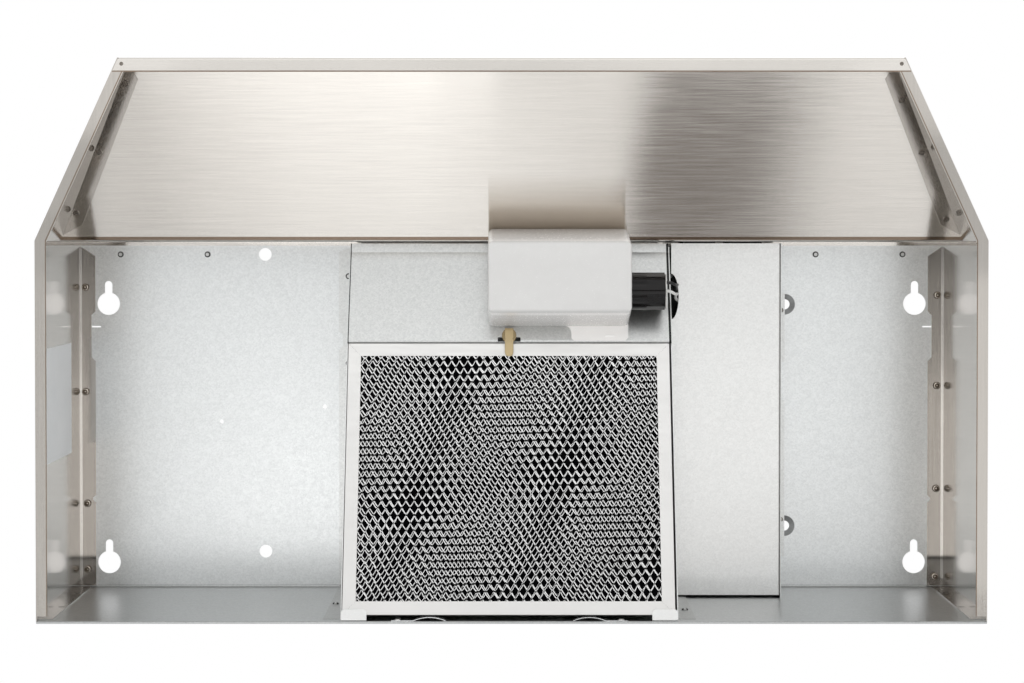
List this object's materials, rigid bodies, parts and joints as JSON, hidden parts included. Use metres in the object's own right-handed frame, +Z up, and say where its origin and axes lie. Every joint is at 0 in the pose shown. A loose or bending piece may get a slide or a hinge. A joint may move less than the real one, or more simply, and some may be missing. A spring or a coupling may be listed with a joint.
{
  "type": "range hood",
  "caption": "Under-cabinet range hood with a sloping visor, vents and rocker switches, a filter and fan in the middle, a lamp under a white lens and a wiring compartment beside it.",
  "frame": {"origin": "middle of the four keyholes, on the top face that meets the cabinet", "axes": "+X to the user's right, +Y towards the wall, +Z up into the cabinet"},
  "size_m": [0.762, 0.4533, 0.1524],
  "materials": {
    "stainless": "stainless, brushed along its length",
    "label": "blank film",
    "galvanised": "galvanised, fine spangle",
    "zinc": "zinc plated",
    "spring_steel": "bright spring steel",
    "core_steel": "varnished laminations",
    "shaft_steel": "ground steel",
    "winding": "enamelled copper wire",
    "aluminium": "bare, bright",
    "charcoal": "black fibre loaded with charcoal",
    "nylon": "natural nylon",
    "lens": "white, translucent",
    "socket": "black moulding",
    "brass": "bright brass",
    "ground": "green plated",
    "bulb_cap": "bright cap",
    "glass": "frosted glass",
    "fan_plastic": "black moulding",
    "switch_body": "black",
    "rocker": "black",
    "black_lead": "insulated wire",
    "white_lead": "insulated wire",
    "motor_lead": "insulated wire",
    "nut": "orange",
    "bushing": "black"
  },
  "bodies": {
    "hood": {"front_panel": "stainless", "left_side_panel": "stainless", "right_side_panel": "stainless", "label_plate": "label", "top_back_pan": "galvanised", "housing_left_wall": "galvanised", "housing_right_wall": "galvanised", "lamp_plate": "galvanised", "wiring_box_wall": "galvanised", "wiring_cover": "galvanised", "fan_deck": "galvanised", "motor_bracket": "galvanised", "flange_screws": "zinc", "visor_rivets": "zinc", "housing_rivets": "zinc", "front_clinches": "zinc", "cover_screws": "zinc", "bracket_rivets": "zinc", "spring_rivets": "zinc", "motor_screws": "zinc", "motor_spacers": "zinc", "left_filter_bracket": "zinc", "right_filter_bracket": "zinc", "socket_bracket": "zinc", "lower_bearing_bracket": "zinc", "upper_bearing_bracket": "zinc", "filter_springs": "spring_steel", "motor_stator": "core_steel", "motor_coil": "winding", "filter_clip": "nylon", "lamp_socket": "socket", "socket_shell": "brass", "switch_terminals": "brass", "ground_screw": "ground", "light_switch_body": "switch_body", "fan_switch_body": "switch_body", "lamp_lead_black": "black_lead", "lamp_lead_white": "white_lead", "motor_leads": "motor_lead", "wire_nuts": "nut", "lead_bushing": "bushing"},
    "fan": {"motor_rotor": "core_steel", "motor_shaft": "shaft_steel", "fan_blade": "fan_plastic", "fan_hub_clip": "spring_steel"},
    "filter": {"filter_frame": "aluminium", "filter_front_mesh": "aluminium", "charcoal_pad": "charcoal", "filter_rear_mesh": "aluminium"},
    "light_rocker": {"light_rocker": "rocker"},
    "fan_rocker": {"fan_rocker": "rocker"},
    "lens": {"lamp_lens": "lens"},
    "bulb": {"bulb_glass": "glass", "bulb_base": "bulb_cap"}
  },
  "joints": [
    {"name": "fan_spin", "type": "hinge", "parent": "hood", "child": "fan", "pos_m": [-0.0017, 0.02338, -0.0524], "axis": [0, 0, 1], "continuous": true},
    {"name": "filter_swing", "type": "hinge", "parent": "hood", "child": "filter", "pos_m": [-0.0017, 0.1257, -0.14842], "axis": [1, 0, 0], "range_deg": [0, 80], "deforming": ["filter_clip"]},
    {"name": "light_rocker_tilt", "type": "hinge", "parent": "hood", "child": "light_rocker", "pos_m": [0.163, -0.1663, -0.0244], "axis": [0, 0, 1], "range_deg": [-16, 0]},
    {"name": "fan_rocker_tilt", "type": "hinge", "parent": "hood", "child": "fan_rocker", "pos_m": [0.203, -0.1663, -0.0244], "axis": [0, 0, 1], "range_deg": [-8, 8]},
    {"name": "lens_release", "type": "slide", "parent": "hood", "child": "lens", "axis": [0, 0, -1], "range_m": [0, 0.06]},
    {"name": "bulb_turn", "type": "hinge", "parent": "hood", "child": "bulb", "pos_m": [0.1, -0.1283, -0.1004], "axis": [1, 0, 0], "continuous": true}
  ]
}
